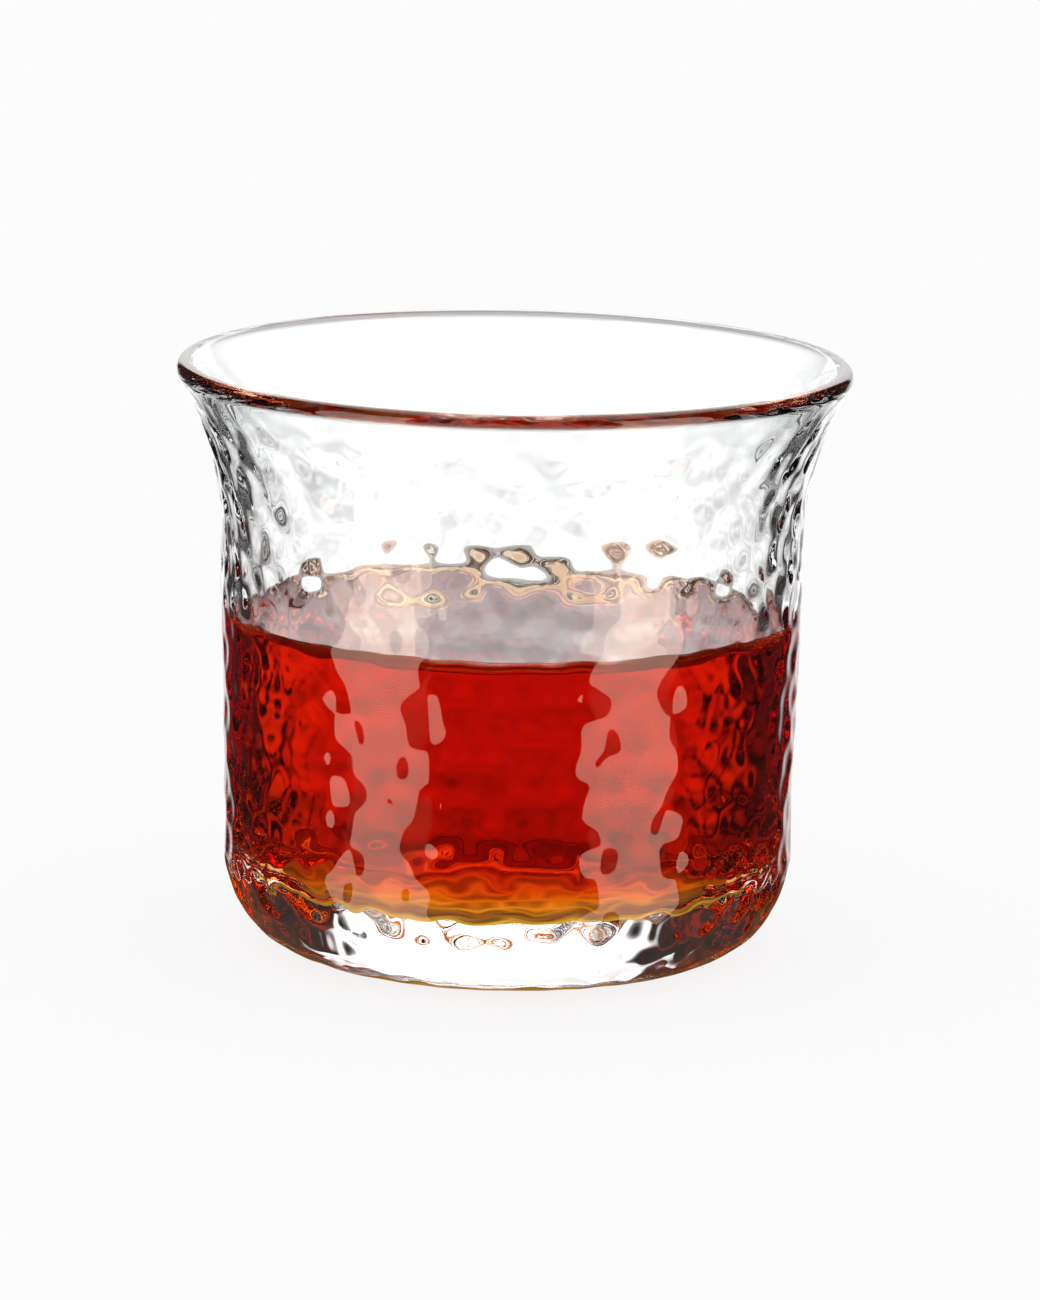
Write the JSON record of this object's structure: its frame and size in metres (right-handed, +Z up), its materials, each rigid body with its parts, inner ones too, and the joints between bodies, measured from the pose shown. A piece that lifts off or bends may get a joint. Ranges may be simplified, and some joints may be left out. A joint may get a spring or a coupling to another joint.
{
  "type": "glass cup",
  "caption": "Hammered clear glass tea cup with a flared fire-polished lip, a dimpled outside, a smooth inside and a thick clear base, part filled with red-amber black tea.",
  "frame": {"origin": "middle of the foot, on the surface that the cup stands on", "axes": "+Z up the axis of the cup towards the lip; +X and +Y are alike, because the cup is round"},
  "size_m": [0.08, 0.08, 0.07],
  "materials": {
    "clear_glass": "clear soda-lime glass, hammered outside, smooth fire-polished inside and lip",
    "black_tea": "clear liquid, red through the full width of the cup and amber where it is shallow"
  },
  "bodies": {
    "root": {"glass_cup": "clear_glass", "tea": "black_tea"}
  },
  "joints": []
}
